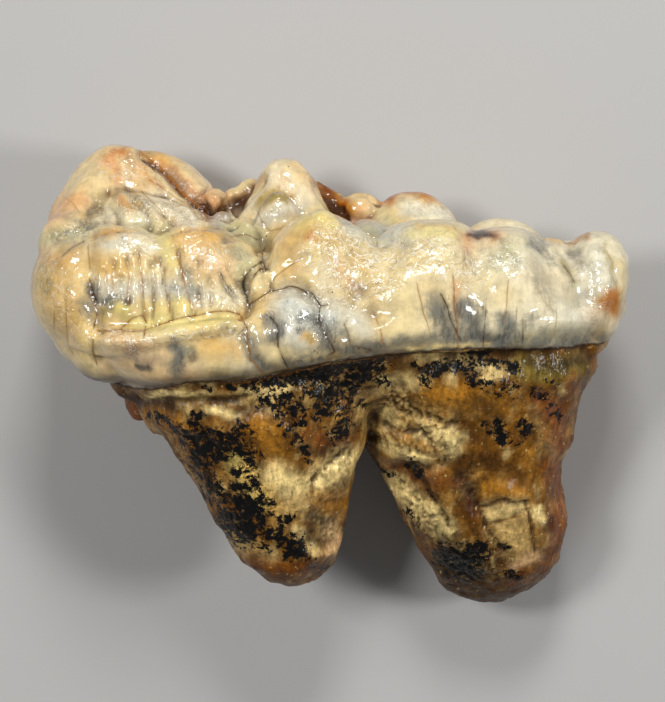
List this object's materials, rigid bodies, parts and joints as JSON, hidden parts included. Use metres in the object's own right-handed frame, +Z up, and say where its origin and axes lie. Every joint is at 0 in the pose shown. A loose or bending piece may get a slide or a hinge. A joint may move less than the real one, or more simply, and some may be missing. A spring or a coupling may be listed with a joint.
{
  "type": "fossil cave bear tooth",
  "caption": "Fossil bear cheek tooth with a long cusped crown and stout root branches, lying on its cheek side.",
  "frame": {"origin": "centre of the bounding box, on the surface that the tooth lies on", "axes": "+X along the crown from its front end to its heel, +Y from the root tips to the cusps, +Z up, out of the tongue side of the tooth"},
  "size_m": [0.0442, 0.0344, 0.0212],
  "materials": {
    "tooth": "clear gloss lacquer over cream enamel and an amber-brown root with black stains"
  },
  "bodies": {
    "root": {"tooth": "tooth"}
  },
  "joints": []
}
